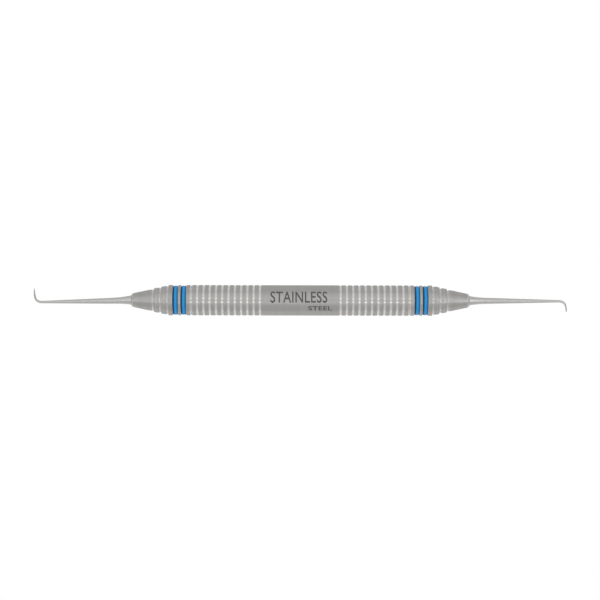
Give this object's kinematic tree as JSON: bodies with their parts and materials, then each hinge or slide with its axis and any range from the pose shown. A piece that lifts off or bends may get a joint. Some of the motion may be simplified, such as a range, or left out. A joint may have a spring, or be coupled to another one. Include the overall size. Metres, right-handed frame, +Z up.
{
  "type": "hand scaler",
  "caption": "Double-ended hand scaler: hollow grooved steel handle with coloured silicone rings, stepped noses, and a small hooked blade at each end.",
  "frame": {"origin": "on the surface that the handle lies on, below the middle of the handle's axis", "axes": "+X along the handle, towards the end with the shorter blade; +Z up from the surface; both hooks lie in the horizontal plane, the longer one (at -X) towards +Y and the shorter one (at +X) towards -Y"},
  "size_m": [0.1676, 0.0094, 0.0095],
  "materials": {
    "satin_steel": "turned, then satin-blasted stainless steel, brighter in the grooves",
    "blade_steel": "finely ground hardened stainless steel",
    "blue_silicone": "soft, slightly shiny blue silicone"
  },
  "bodies": {
    "root": {"handle_tube": "satin_steel", "end_piece_left": "satin_steel", "end_piece_right": "satin_steel", "colour_ring_left_inner": "blue_silicone", "colour_ring_left_outer": "blue_silicone", "colour_ring_right_inner": "blue_silicone", "colour_ring_right_outer": "blue_silicone", "working_end_left": "blade_steel", "working_end_right": "blade_steel"}
  },
  "joints": []
}
